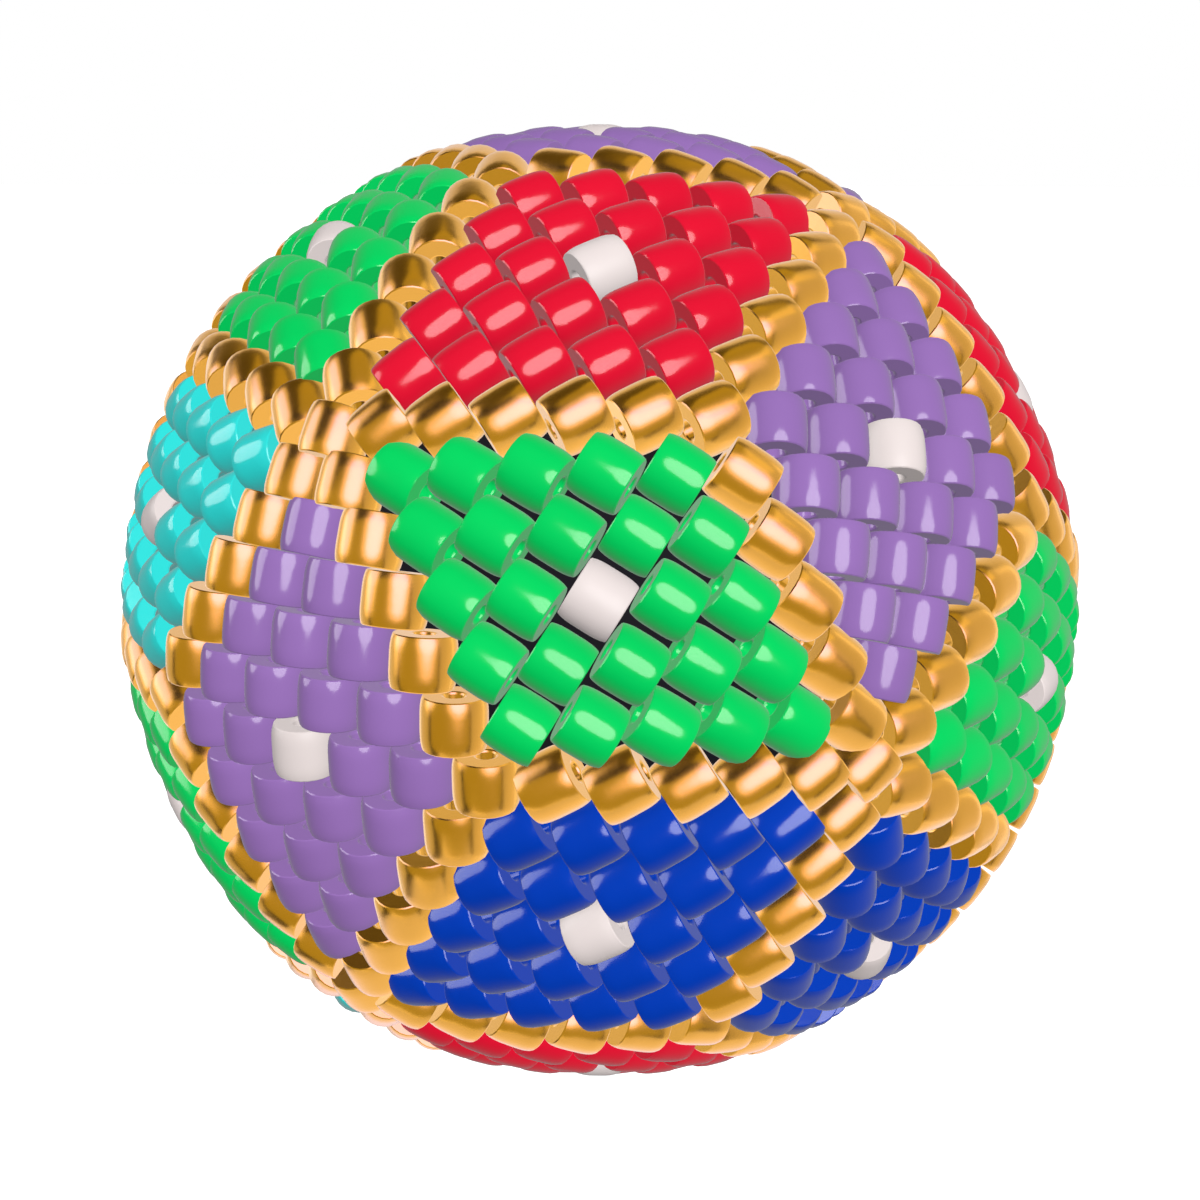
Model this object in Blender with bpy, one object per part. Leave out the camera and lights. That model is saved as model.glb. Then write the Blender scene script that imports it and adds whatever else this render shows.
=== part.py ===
"""A beaded ball in peyote stitch: thirty diamond panels joined by rows of gold beads.

The ball is a slightly puffed rhombic triacontahedron. A panel is a lattice of five by five
cylinder beads, and a row of gold beads joins it to each of its four neighbours. The solids are
the thirty panels, the gold rows as twelve five-armed stars, and the dark ball inside them.
Units are metres and +Z is up. The origin is under the ball's centre, on the flat spot it rests on.
"""

from itertools import combinations
from math import atan, atan2, degrees, radians, sqrt

import bmesh
import bpy
from mathutils import Matrix, Vector

# Beads
BEAD_DIAMETER = 0.0016
BEADS_PER_SIDE = 5
STEPS_PER_SIDE = BEADS_PER_SIDE + 1      # bead steps from one gold row to the opposite one

# The ball, measured to the middle of the beads
PANEL_CENTRE_RADIUS = 0.0136
CORNER_BULGE = 0.17                      # 0 is a round ball, 1 has flat panels
FLAT_SPOT_DEPTH = 0.00026                # how far the resting panel is pressed in
GAP = 0.0003                             # between the panels and the inner ball
SEAM_GAP = 0.00036                       # between a panel and its gold rows, at mid panel

# Proportions of a rhombic triacontahedron whose long diagonals are 2 units
PHI = (1 + sqrt(5)) / 2
LONG_DIAGONAL = 2.0
SHORT_DIAGONAL = 2.0 / PHI
PANEL_DISTANCE = PHI
SAME_PLACE = 0.01                        # corners nearer than this are one corner

# The ball stands with one panel facing straight down and one facing 18 degrees above the front
POSE = Matrix.Rotation(radians(72), 3, "X") @ Matrix.Rotation(-atan(1 / PHI), 3, "Z")
BALL_CENTRE = Vector((0, 0, PANEL_CENTRE_RADIUS + BEAD_DIAMETER / 2 - FLAT_SPOT_DEPTH))

# Panel colours, one row for each ring of panels from the top down. A ring starts at the
# front and goes round by the right-hand side.
RING_COLOURS = (
    ("purple",),
    ("red", "purple", "turquoise", "green"),
    ("purple", "red", "red", "blue"),
    ("green", "turquoise", "blue", "turquoise"),
    ("green", "red", "purple", "purple"),
    ("blue", "blue", "turquoise", "green"),
    ("blue", "turquoise", "green", "red"),
    ("red", "green", "blue", "turquoise"),
    ("purple",),
)

# Base colour, roughness and metallic value of each material
FINISHES = {
    "purple": ((0.33, 0.17, 0.52, 1), 0.25, 0.0),
    "red": ((0.85, 0.01, 0.03, 1), 0.25, 0.0),
    "green": ((0.0, 0.66, 0.12, 1), 0.25, 0.0),
    "turquoise": ((0.03, 0.74, 0.72, 1), 0.25, 0.0),
    "blue": ((0.0, 0.05, 0.50, 1), 0.25, 0.0),
    "gold": ((0.83, 0.52, 0.14, 1), 0.2, 1.0),
    "dark": ((0.017, 0.014, 0.023, 1), 0.7, 0.0),
}


def clear_scene():
    for item in list(bpy.data.objects):
        bpy.data.objects.remove(item)


def make_material(name):
    colour, roughness, metallic = FINISHES[name]
    material = bpy.data.materials.new(name)
    material.use_nodes = True
    shader = material.node_tree.nodes["Principled BSDF"]
    shader.inputs["Base Color"].default_value = colour
    shader.inputs["Roughness"].default_value = roughness
    shader.inputs["Metallic"].default_value = metallic
    material.diffuse_color = colour
    return material


def from_the_top(direction):
    """Sort key: from the top down, then from the front round by the right-hand side."""
    azimuth = round(degrees(atan2(direction.x, -direction.y)), 1) % 360
    return (-round(direction.z, 3), azimuth)


def five_way_corners():
    """The twelve corners at which five panels meet."""
    corners = []
    for first in (1, -1):
        for second in (PHI, -PHI):
            for values in ((first, 0, second), (0, second, first), (second, first, 0)):
                corners.append(POSE @ Vector(values))
    return sorted(corners, key=from_the_top)


class Panel:
    """One diamond, with the lattice on which its beads sit."""

    def __init__(self, start, end):
        self.start = start
        self.end = end
        self.centre = (start + end) / 2
        long_half = (end - start) / 2
        short_half = self.centre.cross(long_half).normalized() * SHORT_DIAGONAL / 2
        self.step_i = (long_half + short_half) / STEPS_PER_SIDE
        self.step_j = (long_half - short_half) / STEPS_PER_SIDE

    def point(self, i, j):
        """A place on the flat diamond, i and j bead steps from its centre."""
        return self.centre + self.step_i * i + self.step_j * j


def find_panels(corners):
    """Each panel's long diagonal joins two neighbouring five-way corners."""
    panels = []
    for start, end in combinations(corners, 2):
        if (end - start).length < LONG_DIAGONAL * 1.01:
            panels.append(Panel(start, end))
    return sorted(panels, key=lambda panel: from_the_top(panel.centre.normalized()))


# Distances between the lattice's rows on the ball, where a panel is nearest to the centre
UNIT = PANEL_CENTRE_RADIUS / PANEL_DISTANCE
SIDE_LENGTH = sqrt(LONG_DIAGONAL ** 2 + SHORT_DIAGONAL ** 2) / 2
ROW_PITCH = UNIT * LONG_DIAGONAL * SHORT_DIAGONAL / 2 / SIDE_LENGTH / STEPS_PER_SIDE
MITRE_PITCH = UNIT * LONG_DIAGONAL / 2 / STEPS_PER_SIDE

EDGE = STEPS_PER_SIDE / 2                             # the gold row's middle line
PANEL_RIM = EDGE - 0.5 - SEAM_GAP / 2 / ROW_PITCH     # half way to it, less the seam
STAR_RIM = EDGE - 0.5 + SEAM_GAP / 2 / ROW_PITCH
MITRE_CUT = SEAM_GAP / 2 / MITRE_PITCH


def on_ball(flat_point, depth):
    """A point of the flat diamonds, moved out to the puffed ball and up by a depth."""
    stretch = flat_point.length / PANEL_DISTANCE - 1
    radius = PANEL_CENTRE_RADIUS * (1 + CORNER_BULGE * stretch)
    return BALL_CENTRE + flat_point.normalized() * (radius + depth)


def panel_patches(panel):
    """The diamond's outer face: one quad for each bead."""
    middle = [i - BEADS_PER_SIDE / 2 for i in range(1, BEADS_PER_SIDE)]
    lines = [-PANEL_RIM] + middle + [PANEL_RIM]
    patches = []
    for i_low, i_high in zip(lines, lines[1:]):
        for j_low, j_high in zip(lines, lines[1:]):
            square = ((i_low, j_low), (i_high, j_low), (i_high, j_high), (i_low, j_high))
            patches.append([panel.point(i, j) for i, j in square])
    return patches


def arm_side_patches(panel, side, swap):
    """Half the width of one star arm, on one panel.

    side is 1 where the star is at the panel's end corner and -1 at its start corner, and swap
    picks the panel's other edge at that corner.
    """
    def place(across, along):
        i, j = (along, across) if swap else (across, along)
        return panel.point(side * i, side * j)

    lines = []
    for step in range(STEPS_PER_SIDE + 1):
        share = step / STEPS_PER_SIDE
        inner_end = MITRE_CUT - STAR_RIM
        outer_end = MITRE_CUT - EDGE
        inner = place(STAR_RIM, STAR_RIM + (inner_end - STAR_RIM) * share)
        outer = place(EDGE, EDGE + (outer_end - EDGE) * share)
        lines.append((inner, outer))
    return [[low[0], low[1], high[1], high[0]] for low, high in zip(lines, lines[1:])]


def star_patches(corner, panels):
    """A star of gold rows: its five arms run out from a five-way corner."""
    patches = []
    for panel in panels:
        for tip, side in ((panel.start, -1), (panel.end, 1)):
            if tip == corner:
                patches += arm_side_patches(panel, side, False)
                patches += arm_side_patches(panel, side, True)
    return patches


def thick_patches(patches):
    """Closed mesh as thick as a bead, from quads of points on the flat diamonds."""
    mesh = bmesh.new()
    depths = (BEAD_DIAMETER / 2, -BEAD_DIAMETER / 2)
    placed = []

    def place_number(flat_point):
        """The number of the outer and inner vertex pair at this place, made when first used."""
        for number, (place, _pair) in enumerate(placed):
            if (place - flat_point).length < SAME_PLACE:
                return number
        placed.append((flat_point, [mesh.verts.new(on_ball(flat_point, d)) for d in depths]))
        return len(placed) - 1

    rim = set()
    for patch in patches:
        numbers = [place_number(point) for point in patch]
        for layer in range(len(depths)):
            mesh.faces.new([placed[number][1][layer] for number in numbers])
        for start, end in zip(numbers, numbers[1:] + numbers[:1]):
            rim ^= {(min(start, end), max(start, end))}
    for start, end in sorted(rim):
        (outer_a, inner_a), (outer_b, inner_b) = placed[start][1], placed[end][1]
        mesh.faces.new([outer_a, outer_b, inner_b, inner_a])
    bmesh.ops.recalc_face_normals(mesh, faces=mesh.faces)
    return mesh


def press_flat(mesh):
    """Cut off what lies below the surface that the ball rests on, and close the cut."""
    everything = mesh.verts[:] + mesh.edges[:] + mesh.faces[:]
    cut = bmesh.ops.bisect_plane(
        mesh, geom=everything, plane_co=(0, 0, 0), plane_no=(0, 0, -1), clear_outer=True)
    rim = [item for item in cut["geom_cut"] if isinstance(item, bmesh.types.BMEdge)]
    bmesh.ops.edgeloop_fill(mesh, edges=rim)
    bmesh.ops.recalc_face_normals(mesh, faces=mesh.faces)


def inner_ball_mesh():
    """The dark ball that the beads are stitched around."""
    faceting = 0.00005          # the beads' facets dip this far between their corners
    radius = PANEL_CENTRE_RADIUS - BEAD_DIAMETER / 2 - GAP - faceting
    mesh = bmesh.new()
    bmesh.ops.create_icosphere(
        mesh, subdivisions=4, radius=radius, matrix=Matrix.Translation(BALL_CENTRE))
    return mesh


def add_object(name, mesh, material):
    data = bpy.data.meshes.new(name)
    mesh.to_mesh(data)
    mesh.free()
    data.materials.append(material)
    data.shade_smooth()
    data.set_sharp_from_angle(angle=radians(30))
    item = bpy.data.objects.new(name, data)
    bpy.context.scene.collection.objects.link(item)
    return item


def build():
    clear_scene()
    materials = {name: make_material(name) for name in FINISHES}
    corners = five_way_corners()
    panels = find_panels(corners)
    colours = [colour for ring in RING_COLOURS for colour in ring]
    for number, (panel, colour) in enumerate(zip(panels, colours), start=1):
        mesh = thick_patches(panel_patches(panel))
        if number == len(panels):
            press_flat(mesh)
        add_object(f"panel_{number:02}_{colour}", mesh, materials[colour])
    for number, corner in enumerate(corners, start=1):
        mesh = thick_patches(star_patches(corner, panels))
        add_object(f"gold_star_{number:02}", mesh, materials["gold"])
    add_object("inner_ball", inner_ball_mesh(), materials["dark"])


build()
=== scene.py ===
"""Looks of the beaded ball: each of its 1082 cylinder beads, their finish, the floor and the light.

The beads sit on the lattice of the ball's thirty diamond panels. A panel has five by five beads
with a white one in the middle, and rows of gold beads run along all its sides. The beads of a
panel are one mesh, and so are the gold beads of a five-armed star.
"""

from itertools import combinations
from math import atan, atan2, cos, degrees, pi, radians, sin, sqrt, tan

import bpy
import numpy as np
from mathutils import Matrix, Quaternion, Vector


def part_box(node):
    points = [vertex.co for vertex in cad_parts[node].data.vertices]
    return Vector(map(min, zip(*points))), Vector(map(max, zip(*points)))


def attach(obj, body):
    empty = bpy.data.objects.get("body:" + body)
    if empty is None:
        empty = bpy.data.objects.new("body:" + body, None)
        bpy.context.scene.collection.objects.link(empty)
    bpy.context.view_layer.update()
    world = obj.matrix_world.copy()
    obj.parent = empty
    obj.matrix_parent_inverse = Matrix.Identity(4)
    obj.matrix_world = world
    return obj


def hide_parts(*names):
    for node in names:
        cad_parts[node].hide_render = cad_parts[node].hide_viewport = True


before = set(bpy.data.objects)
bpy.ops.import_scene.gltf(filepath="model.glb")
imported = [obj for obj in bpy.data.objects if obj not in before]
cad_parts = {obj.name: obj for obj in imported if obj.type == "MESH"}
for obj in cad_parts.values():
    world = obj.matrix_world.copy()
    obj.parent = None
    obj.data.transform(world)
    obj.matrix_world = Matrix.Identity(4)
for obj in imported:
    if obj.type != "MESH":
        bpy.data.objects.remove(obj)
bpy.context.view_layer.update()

MM = 0.001

# One bead: a barrel with bevelled rims, flat ends and a hole
BEAD_RADIUS = 0.80 * MM                  # at the waist
RIM_RADIUS = 0.742 * MM
HALF_LENGTH = 0.645 * MM
HOLE_RADIUS = 0.25 * MM
RIM_BEVEL = 0.025 * MM
HOLE_ROUND = 0.06 * MM
BEAD_SEGMENTS = 24
BARREL_RINGS = (0, 0.4, 0.65, 0.85, 1)   # shares of the way from the waist to the rim
HOLE_EDGE_ANGLES = (0, 45, 90)
SHARP_ANGLE = 20                         # keeps the flat ends and the bevel flat

# The lattice, measured to the middle of the beads
STEPS_PER_SIDE = 6                       # bead steps from one gold row to the opposite one
GOLD = STEPS_PER_SIDE // 2               # steps from a panel's centre to its gold rows
PANEL_CENTRE_RADIUS = 13.6 * MM
CORNER_BULGE = 0.17                      # 0 is a round ball, 1 has flat panels
PHI = (1 + sqrt(5)) / 2
LONG_DIAGONAL = 2.0
SHORT_DIAGONAL = 2.0 / PHI
PANEL_DISTANCE = PHI
SAME_PLACE = 0.01                        # places nearer than this are one place
POSE = Matrix.Rotation(radians(72), 3, "X") @ Matrix.Rotation(-atan(1 / PHI), 3, "Z")

# A gold row lies along the panel that was sewn on first, and the panels not named here follow in
# the order of their numbers. A five-way corner bead lies along one of the corner panels.
SEWN_FIRST = (29, 21, 17, 5, 1, 2, 26, 18, 10, 7, 23, 14, 6, 13, 22)
CORNER_PANELS = (17, 18, 2)

# The beads' tones: a panel's seed is its number from 0, and the stars' seeds follow this one
GOLD_SEED = 100

# Base colours
GREEN = (0.0, 0.80, 0.145)
RED = (0.95, 0.007, 0.038)
PURPLE = (0.38, 0.20, 0.58)
BLUE = (0.0, 0.055, 0.58)
TURQUOISE = (0.035, 0.90, 0.86)
WHITE = (0.95, 0.845, 0.825)
GOLD_COLOUR = (0.92, 0.45, 0.05)
DARK_PAINT = (0.008, 0.007, 0.010)
WORN_PAINT = (0.014, 0.012, 0.018)
GREY_CARD = (0.93, 0.93, 0.93)
PALE_CARD = (0.96, 0.96, 0.96)

# Waves to the metre in the surfaces
CLOUDS = 900
RIPPLES = 2500
SPECKS = 6000
GOLD_RIPPLES = 3000
GOLD_SPECKS = 7000
GRAIN = 1500
CARD_CLOUDS = 40
RIPPLE_DEPTH = 0.002 * MM
GRAIN_DEPTH = 0.01 * MM

# The floor
FLOOR_HALF_SIDE = 0.6
FLOOR_GLOW = 0.7

# Light. A place is an azimuth and an elevation as seen from the ball.
LIGHT_DISTANCE = 1.0
CORE_DISTANCE = 0.9                      # of a second light in front of another
KEY_PLACE = (19, 24)
LEFT_PLACE = (-93, 17)
BACK_PLACE = (172, 4)
UP = (0, 90)
BACK_WALL = (165, -30)                   # the brightest place that the glass mirrors

# The camera looks at the middle of the ball
CAMERA_PLACE = (0.17, 18)
CAMERA_DISTANCE = 47.53 * MM
CAMERA_ROLL = 0.14
LENS = 44.9
SENSOR_WIDTH = 36
CLIP_START = 0.001


def ball_centre():
    low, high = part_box("inner_ball")
    return (Vector(low) + Vector(high)) / 2


BALL_CENTRE = ball_centre()


class Panel:
    """One diamond, with the lattice on which its beads sit."""

    def __init__(self, start, end):
        self.start = start
        self.end = end
        self.centre = (start + end) / 2
        self.long_half = (end - start) / 2
        short_half = self.centre.cross(self.long_half).normalized() * SHORT_DIAGONAL / 2
        self.step_i = (self.long_half + short_half) / STEPS_PER_SIDE
        self.step_j = (self.long_half - short_half) / STEPS_PER_SIDE

    def point(self, i, j):
        return self.centre + self.step_i * i + self.step_j * j


class Bead:
    """A place on the flat diamonds and the panel along which the bead lies."""

    def __init__(self, flat_point, panel):
        self.flat_point = flat_point
        self.panel = panel

    def placing(self):
        """Rotation and centre of the bead, with its hole along the panel's long diagonal."""
        out = self.flat_point.normalized()
        along = (self.panel.long_half - out * self.panel.long_half.dot(out)).normalized()
        across = out.cross(along)
        stretch = self.flat_point.length / PANEL_DISTANCE - 1
        centre = BALL_CENTRE + out * PANEL_CENTRE_RADIUS * (1 + CORNER_BULGE * stretch)
        reach = BEAD_RADIUS * sqrt(1 - along.z ** 2) + HALF_LENGTH * abs(along.z)
        centre.z = max(centre.z, reach)
        return Matrix((across, out, along)).transposed(), centre


def from_the_top(direction):
    """Sort key: from the top down, then from the front round by the right-hand side."""
    azimuth = round(degrees(atan2(direction.x, -direction.y)), 1) % 360
    return (-round(direction.z, 3), azimuth)


def five_way_corners():
    corners = []
    for first in (1, -1):
        for second in (PHI, -PHI):
            for values in ((first, 0, second), (0, second, first), (second, first, 0)):
                corners.append(POSE @ Vector(values))
    return sorted(corners, key=from_the_top)


def find_panels(corners):
    panels = []
    for start, end in combinations(corners, 2):
        if (end - start).length < LONG_DIAGONAL * 1.01:
            panels.append(Panel(start, end))
    return sorted(panels, key=lambda panel: from_the_top(panel.centre.normalized()))


def panel_beads(panel):
    """The twenty-five beads of a panel, the middle one last."""
    steps = range(1 - GOLD, GOLD)
    places = [(i, j) for i in steps for j in steps if (i, j) != (0, 0)]
    return [Bead(panel.point(i, j), panel) for i, j in places + [(0, 0)]]


def sewing_order(panels):
    numbers = list(SEWN_FIRST)
    numbers += [n for n in range(1, len(panels) + 1) if n not in SEWN_FIRST]
    return [panels[n - 1] for n in numbers]


def is_at(place, places):
    return any((place - other).length < SAME_PLACE for other in places)


def gold_beads(panels, corners):
    """One list of gold beads for each five-way corner: its own bead and the five rows from it."""
    corner_panels = [panels[n - 1] for n in CORNER_PANELS]
    in_order = sewing_order(panels)
    stars = [[] for _ in corners]
    placed = []
    for number, corner in enumerate(corners):
        lying_along = next(p for p in corner_panels + in_order if is_at(corner, (p.start, p.end)))
        stars[number].append(Bead(corner, lying_along))
        placed.append(corner)
    for panel in in_order:
        for side, corner in ((-1, panel.start), (1, panel.end)):
            star = stars[corners.index(corner)]
            for step in range(-GOLD, GOLD):
                for i, j in ((GOLD, step), (step, GOLD)):
                    place = panel.point(side * i, side * j)
                    if not is_at(place, placed):
                        star.append(Bead(place, panel))
                        placed.append(place)
    return stars


def bead_profile():
    """Radius and height from the bead's waist over the rim and the end into the hole."""
    barrel_end = HALF_LENGTH - RIM_BEVEL
    taper = BEAD_RADIUS - RIM_RADIUS
    profile = []
    for share in BARREL_RINGS:
        profile.append((BEAD_RADIUS - taper * share ** 4, barrel_end * share))
    profile.append((RIM_RADIUS - RIM_BEVEL, HALF_LENGTH))
    hole_edge = HOLE_RADIUS + HOLE_ROUND
    for angle in HOLE_EDGE_ANGLES:
        radius = hole_edge - HOLE_ROUND * sin(radians(angle))
        height = HALF_LENGTH - HOLE_ROUND * (1 - cos(radians(angle)))
        profile.append((radius, height))
    return profile


def bead_shape():
    """Points and faces of one bead with its hole along Z."""
    half = bead_profile()
    rings = half + [(radius, -height) for radius, height in reversed(half[1:])]
    turn = np.arange(BEAD_SEGMENTS) * 2 * pi / BEAD_SEGMENTS
    points = []
    for radius, height in rings:
        ring = np.stack([radius * np.cos(turn), radius * np.sin(turn), turn * 0 + height], axis=1)
        points.append(ring)
    faces = []
    for ring in range(len(rings)):
        low, high = ring * BEAD_SEGMENTS, (ring + 1) % len(rings) * BEAD_SEGMENTS
        for a in range(BEAD_SEGMENTS):
            b = (a + 1) % BEAD_SEGMENTS
            faces.append((low + a, low + b, high + b, high + a))
    return np.concatenate(points), np.array(faces)


BEAD_POINTS, BEAD_FACES = bead_shape()


def show_to_camera_only(piece):
    """Leave the piece out of shadows and reflections: the beads show none of each other."""
    piece.visible_glossy = False
    piece.visible_diffuse = False
    piece.visible_shadow = False


def join_beads(name, beads, materials, seed, last_material=0):
    """One mesh of all the beads. The last bead may have the second material."""
    tones = np.random.default_rng(seed).uniform(0, 1, len(beads))
    points, faces = [], []
    for number, bead in enumerate(beads):
        rotation, centre = bead.placing()
        points.append(BEAD_POINTS @ np.array(rotation).T + np.array(centre))
        faces.append(BEAD_FACES + number * len(BEAD_POINTS))
    data = bpy.data.meshes.new(name)
    data.from_pydata(np.concatenate(points).tolist(), [], np.concatenate(faces).tolist())
    for material in materials:
        data.materials.append(material)
    slots = np.zeros(len(data.polygons), dtype=np.int32)
    slots[-len(BEAD_FACES):] = last_material
    data.polygons.foreach_set("material_index", slots)
    tone = data.attributes.new("bead_tone", "FLOAT", "POINT")
    tone.data.foreach_set("value", np.repeat(tones, len(BEAD_POINTS)))
    data.shade_smooth()
    data.set_sharp_from_angle(angle=radians(SHARP_ANGLE))
    piece = bpy.data.objects.new(name, data)
    bpy.context.scene.collection.objects.link(piece)
    show_to_camera_only(piece)
    return piece


class Nodes:
    """Short calls for building a material's node tree."""

    def __init__(self, name):
        self.material = bpy.data.materials.new(name)
        self.material.use_nodes = True
        self.tree = self.material.node_tree
        self.shader = self.tree.nodes["Principled BSDF"]

    def add(self, kind, **values):
        node = self.tree.nodes.new(kind)
        for key, value in values.items():
            setattr(node, key, value)
        return node

    def link(self, source, target):
        self.tree.links.new(source, target)

    def set(self, socket, value):
        """A value that is the same all over the surface."""
        self.shader.inputs[socket].default_value = value

    def drive(self, socket, source):
        """A value that changes over the surface."""
        self.link(source, self.shader.inputs[socket])

    def bead_tone(self):
        """A share from 0 to 1 that differs from bead to bead."""
        return self.add("ShaderNodeAttribute", attribute_name="bead_tone").outputs["Fac"]

    def noise(self, scale, detail=3.0):
        """Noise over the object, with scale in waves to the metre."""
        place = self.add("ShaderNodeTexCoord")
        noise = self.add("ShaderNodeTexNoise")
        noise.inputs["Scale"].default_value = scale
        noise.inputs["Detail"].default_value = detail
        self.link(place.outputs["Object"], noise.inputs["Vector"])
        return noise.outputs["Fac"]

    def between(self, share, low, high):
        """Low where share is 0 and high where it is 1."""
        spread = self.add("ShaderNodeMapRange")
        spread.inputs["To Min"].default_value = low
        spread.inputs["To Max"].default_value = high
        self.link(share, spread.inputs["Value"])
        return spread.outputs["Result"]

    def colours(self, share, low, high):
        mix = self.add("ShaderNodeMix", data_type="RGBA")
        mix.inputs["A"].default_value = (*low, 1)
        mix.inputs["B"].default_value = (*high, 1)
        self.link(share, mix.inputs["Factor"])
        return mix.outputs["Result"]

    def bump(self, height, depth):
        bump = self.add("ShaderNodeBump")
        bump.inputs["Strength"].default_value = 1.0
        bump.inputs["Distance"].default_value = depth
        self.link(height, bump.inputs["Height"])
        self.drive("Normal", bump.outputs["Normal"])


def glass_material(name, colour, rough=(0.13, 0.17), ior=1.65):
    """Opaque glossy glass, its tone a little different from bead to bead."""
    nodes = Nodes(name)
    tone = nodes.between(nodes.bead_tone(), 0, 0.6)
    cloud = nodes.between(nodes.noise(CLOUDS), 0, 0.4)
    mixed = nodes.add("ShaderNodeMath", operation="ADD")
    nodes.link(tone, mixed.inputs[0])
    nodes.link(cloud, mixed.inputs[1])
    darker = [value * 0.95 for value in colour]
    lighter = [min(1, value * 1.03) for value in colour]
    nodes.drive("Base Color", nodes.colours(mixed.outputs[0], darker, lighter))
    nodes.drive("Roughness", nodes.between(nodes.noise(SPECKS), *rough))
    nodes.set("IOR", ior)
    nodes.bump(nodes.noise(RIPPLES, 1.0), RIPPLE_DEPTH)
    return nodes.material


def gold_material():
    """Polished gold plating."""
    nodes = Nodes("polished_gold")
    darker = [value * 0.96 for value in GOLD_COLOUR]
    nodes.drive("Base Color", nodes.colours(nodes.bead_tone(), darker, GOLD_COLOUR))
    nodes.drive("Roughness", nodes.between(nodes.noise(GOLD_SPECKS), 0.23, 0.28))
    nodes.set("Metallic", 1.0)
    nodes.bump(nodes.noise(GOLD_RIPPLES, 1.0), RIPPLE_DEPTH)
    return nodes.material


def painted_wood():
    """The dark matt ball under the beads."""
    nodes = Nodes("dark_painted_ball")
    grain = nodes.noise(GRAIN, 6.0)
    nodes.drive("Base Color", nodes.colours(grain, DARK_PAINT, WORN_PAINT))
    nodes.drive("Roughness", nodes.between(grain, 0.6, 0.8))
    nodes.set("Specular IOR Level", 0.1)
    nodes.bump(grain, GRAIN_DEPTH)
    return nodes.material


def take_place(piece, node):
    """Let the piece stand for the node."""
    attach(piece, "root")
    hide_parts(node)


def add_panels(panels):
    finishes = {
        "green": glass_material("green_glass", GREEN),
        "red": glass_material("red_glass", RED),
        "purple": glass_material("purple_glass", PURPLE),
        "blue": glass_material("blue_glass", BLUE),
        "turquoise": glass_material("turquoise_glass", TURQUOISE),
    }
    white = glass_material("white_glass", WHITE, rough=(0.35, 0.45), ior=1.45)
    nodes = sorted(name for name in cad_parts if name.startswith("panel_"))
    pieces = []
    for seed, (node, panel) in enumerate(zip(nodes, panels)):
        colour = node.split("_")[-1]
        piece = join_beads(node + "_beads", panel_beads(panel), (finishes[colour], white), seed, 1)
        take_place(piece, node)
        pieces.append(piece)
    return pieces


def add_gold_stars(panels, corners):
    gold = gold_material()
    pieces = []
    for number, beads in enumerate(gold_beads(panels, corners), start=1):
        node = f"gold_star_{number:02}"
        piece = join_beads(node + "_beads", beads, (gold,), GOLD_SEED + number)
        take_place(piece, node)
        pieces.append(piece)
    return pieces


def paint_inner_ball():
    ball = bpy.data.objects["inner_ball"]
    ball.material_slots[0].material = painted_wood()
    show_to_camera_only(ball)
    return ball


def white_card():
    nodes = Nodes("white_card")
    nodes.drive("Base Color", nodes.colours(nodes.noise(CARD_CLOUDS), GREY_CARD, PALE_CARD))
    nodes.set("Roughness", 0.9)
    nodes.set("Specular IOR Level", 0.0)
    nodes.set("Emission Color", (1, 1, 1, 1))
    nodes.set("Emission Strength", FLOOR_GLOW)
    return nodes.material


def add_floor():
    """A white card. Its own glow keeps it white up to the ball."""
    data = bpy.data.meshes.new("floor")
    side = FLOOR_HALF_SIDE
    data.from_pydata([(-side, -side, 0), (side, -side, 0), (side, side, 0), (-side, side, 0)],
                     [], [(0, 1, 2, 3)])
    data.materials.append(white_card())
    floor = bpy.data.objects.new("floor", data)
    bpy.context.scene.collection.objects.link(floor)
    floor.visible_glossy = False
    floor.visible_diffuse = False
    return floor


def towards(azimuth, elevation):
    """A direction from the ball: azimuth 0 is the front and 90 the right-hand side."""
    turn, rise = radians(azimuth), radians(elevation)
    return Vector((sin(turn) * cos(rise), -cos(turn) * cos(rise), sin(rise)))


def add_softbox(name, place, spread, radiance, lit, distance=LIGHT_DISTANCE, hidden_from=(),
                round_face=False):
    """A flat soft light for some pieces only, seen from the ball with the given half angles."""
    width, height = (2 * distance * tan(radians(angle)) for angle in spread)
    area = width * height * (pi / 4 if round_face else 1)
    strongest = max(radiance)
    light = bpy.data.lights.new(name, "AREA")
    light.shape = "ELLIPSE" if round_face else "RECTANGLE"
    light.size = width
    light.size_y = height
    light.energy = strongest * pi * area
    light.color = [value / strongest for value in radiance]
    lamp = bpy.data.objects.new(name, light)
    away = towards(*place)
    lamp.location = BALL_CENTRE + away * distance
    lamp.rotation_mode = "QUATERNION"
    lamp.rotation_quaternion = away.to_track_quat("Z", "Y")
    lamp.light_linking.receiver_collection = lit
    for ray in hidden_from:
        setattr(lamp, "visible_" + ray, False)
    bpy.context.scene.collection.objects.link(lamp)


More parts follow.
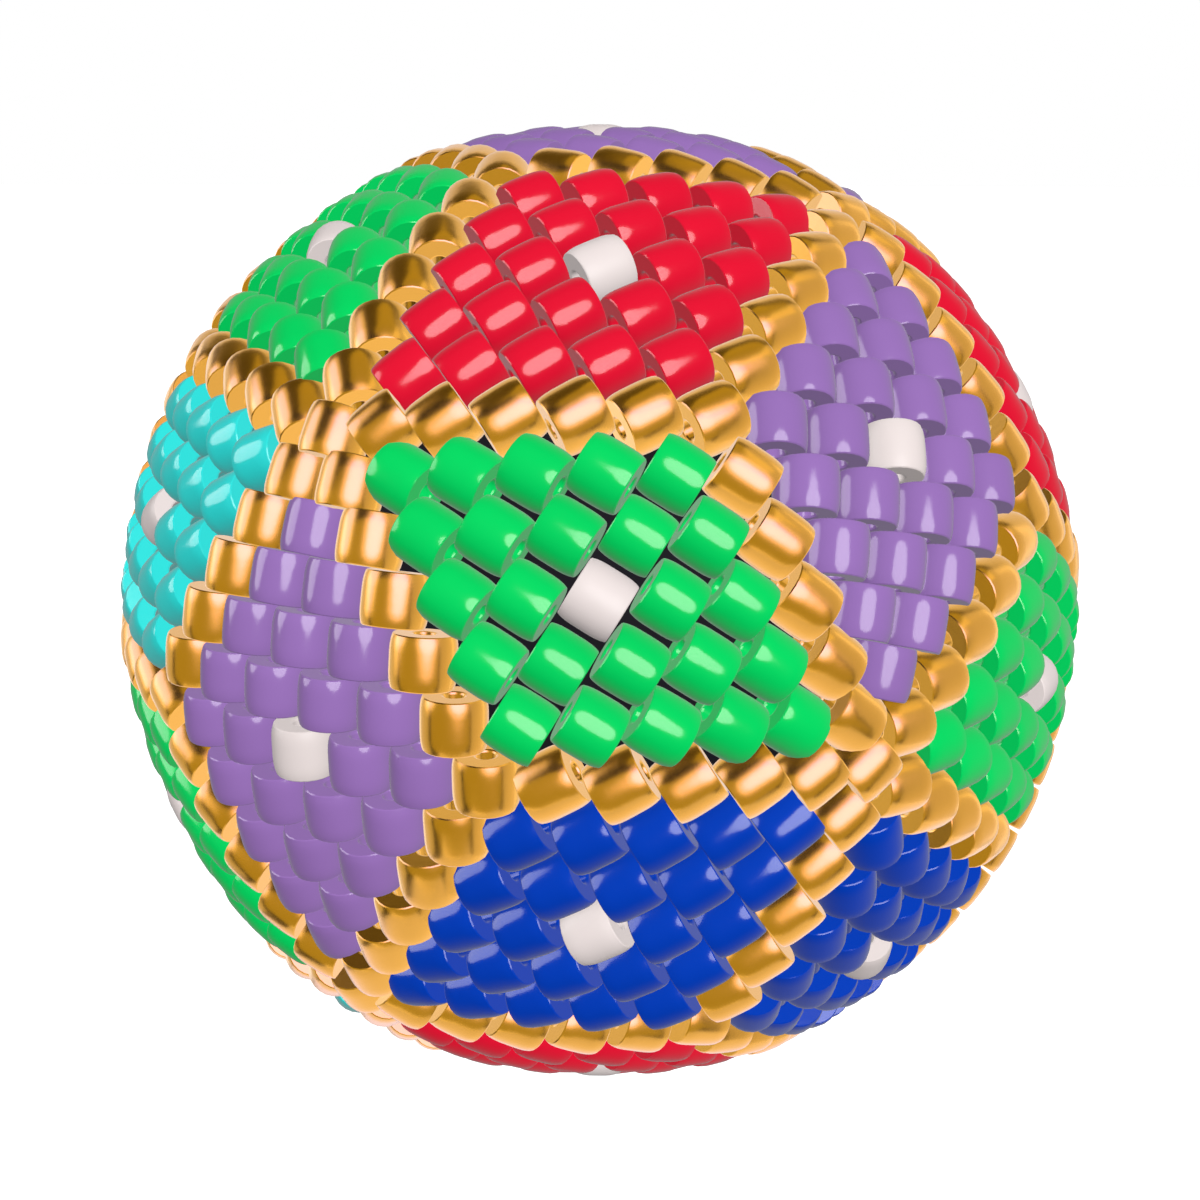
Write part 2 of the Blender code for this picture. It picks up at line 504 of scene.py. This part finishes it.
class World(Nodes):
    """The room round the ball. Its levels follow the direction in which a ray leaves."""

    def __init__(self):
        world = bpy.data.worlds.new("studio")
        world.use_nodes = True
        world.cycles.sampling_method = "NONE"
        bpy.context.scene.world = world
        self.tree = world.node_tree
        self.background = self.tree.nodes["Background"]
        self.background.inputs["Color"].default_value = (1, 1, 1, 1)
        self.direction = self.add("ShaderNodeTexCoord").outputs["Generated"]
        self.path = self.add("ShaderNodeLightPath")

    def along(self, place, low, high, start=-1.0, end=1.0):
        """A level that rises from low to high along the axis from the ball to a place."""
        dot = self.add("ShaderNodeVectorMath", operation="DOT_PRODUCT")
        dot.inputs[1].default_value = towards(*place)
        self.link(self.direction, dot.inputs[0])
        ramp = self.add("ShaderNodeMapRange", interpolation_type="SMOOTHSTEP")
        ramp.inputs["From Min"].default_value = start
        ramp.inputs["From Max"].default_value = end
        ramp.inputs["To Min"].default_value = low
        ramp.inputs["To Max"].default_value = high
        self.link(dot.outputs["Value"], ramp.inputs["Value"])
        return ramp.outputs["Result"]

    def instead(self, level, ray, other):
        """The level, or the other one for one kind of ray."""
        mix = self.add("ShaderNodeMix", data_type="FLOAT")
        self.link(self.path.outputs[ray], mix.inputs["Factor"])
        self.link(level, mix.inputs["A"])
        if isinstance(other, float):
            mix.inputs["B"].default_value = other
        else:
            self.link(other, mix.inputs["B"])
        return mix.outputs["Result"]


def add_world():
    """White to the eye, soft light from above, and little for the glass to mirror."""
    room = World()
    mirrored = room.along(BACK_WALL, 0.015, 0.36, -0.3, 0.95)
    shade = room.along(UP, 0.12, 0.37)
    level = room.instead(mirrored, "Is Diffuse Ray", shade)
    level = room.instead(level, "Is Camera Ray", 1.0)
    room.link(level, room.background.inputs["Strength"])


def collect(name, pieces):
    collection = bpy.data.collections.new(name)
    for piece in pieces:
        collection.objects.link(piece)
    return collection


def add_round_softbox(name, place, half_angle, radiance, lit, **options):
    add_softbox(name, place, (half_angle, half_angle), radiance, lit, round_face=True, **options)


def light_others(lit):
    """Round softboxes. The left one's reflection and light have levels of their own."""
    add_round_softbox("key", KEY_PLACE, 24, (4.1, 4.1, 4.1), lit)
    add_round_softbox("left", LEFT_PLACE, 20, (2.6, 2.6, 2.6), lit, hidden_from=("diffuse",))
    add_round_softbox("left_shade", LEFT_PLACE, 20, (1.5, 1.5, 1.5), lit,
                      distance=CORE_DISTANCE, hidden_from=("glossy",))
    add_round_softbox("back_shade", BACK_PLACE, 26, (2.4, 2.4, 2.4), lit,
                      hidden_from=("glossy",))


def light_gold(gold):
    """Wider softboxes with bright cores, and pale walls round the room that the gold mirrors."""
    add_round_softbox("key_on_gold", (20, 28), 38, (0.8, 0.7, 1.3), gold)
    add_round_softbox("key_core_on_gold", (21, 27), 26, (0.9, 0.75, 11.0), gold,
                      distance=CORE_DISTANCE)
    add_round_softbox("left_on_gold", (-93, 19), 28, (0.9, 0.85, 1.0), gold)
    add_round_softbox("left_core_on_gold", (-93, 19), 20, (0.5, 0.65, 6.5), gold,
                      distance=CORE_DISTANCE)
    add_softbox("front_on_gold", (-10, -4), (65, 45), (0.47, 0.45, 0.15), gold, distance=1.1)
    add_softbox("top_on_gold", (60, 72), (30, 30), (0.42, 0.4, 0.12), gold)
    add_softbox("high_back_on_gold", (-150, 62), (38, 28), (0.07, 0.06, 0.0), gold)
    add_softbox("right_on_gold", (92, 5), (32, 52), (0.62, 0.62, 0.85), gold)
    add_softbox("back_on_gold", (168, 0), (52, 46), (0.6, 0.62, 0.7), gold, distance=1.2)
    add_softbox("below_on_gold", (0, -89), (44, 44), (0.82, 0.84, 1.4), gold)
    add_softbox("left_back_on_gold", (-118, -12), (31, 28), (0.55, 0.57, 0.6), gold, distance=1.1)


def add_camera():
    data = bpy.data.cameras.new("camera")
    data.lens = LENS
    data.sensor_width = SENSOR_WIDTH
    data.clip_start = CLIP_START
    camera = bpy.data.objects.new("camera", data)
    back = towards(*CAMERA_PLACE)
    camera.location = BALL_CENTRE + back * CAMERA_DISTANCE
    camera.rotation_mode = "QUATERNION"
    roll = Quaternion((0, 0, 1), radians(CAMERA_ROLL))
    camera.rotation_quaternion = back.to_track_quat("Z", "Y") @ roll
    bpy.context.scene.collection.objects.link(camera)
    bpy.context.scene.camera = camera


CORNERS = five_way_corners()
PANELS = find_panels(CORNERS)
glass_pieces = add_panels(PANELS)
gold_pieces = add_gold_stars(PANELS, CORNERS)
inner_ball = paint_inner_ball()
card = add_floor()
add_world()
light_others(collect("lit_others", glass_pieces + [card, inner_ball]))
light_gold(collect("lit_gold", gold_pieces))
add_camera()
bpy.context.scene.view_settings.view_transform = "Standard"
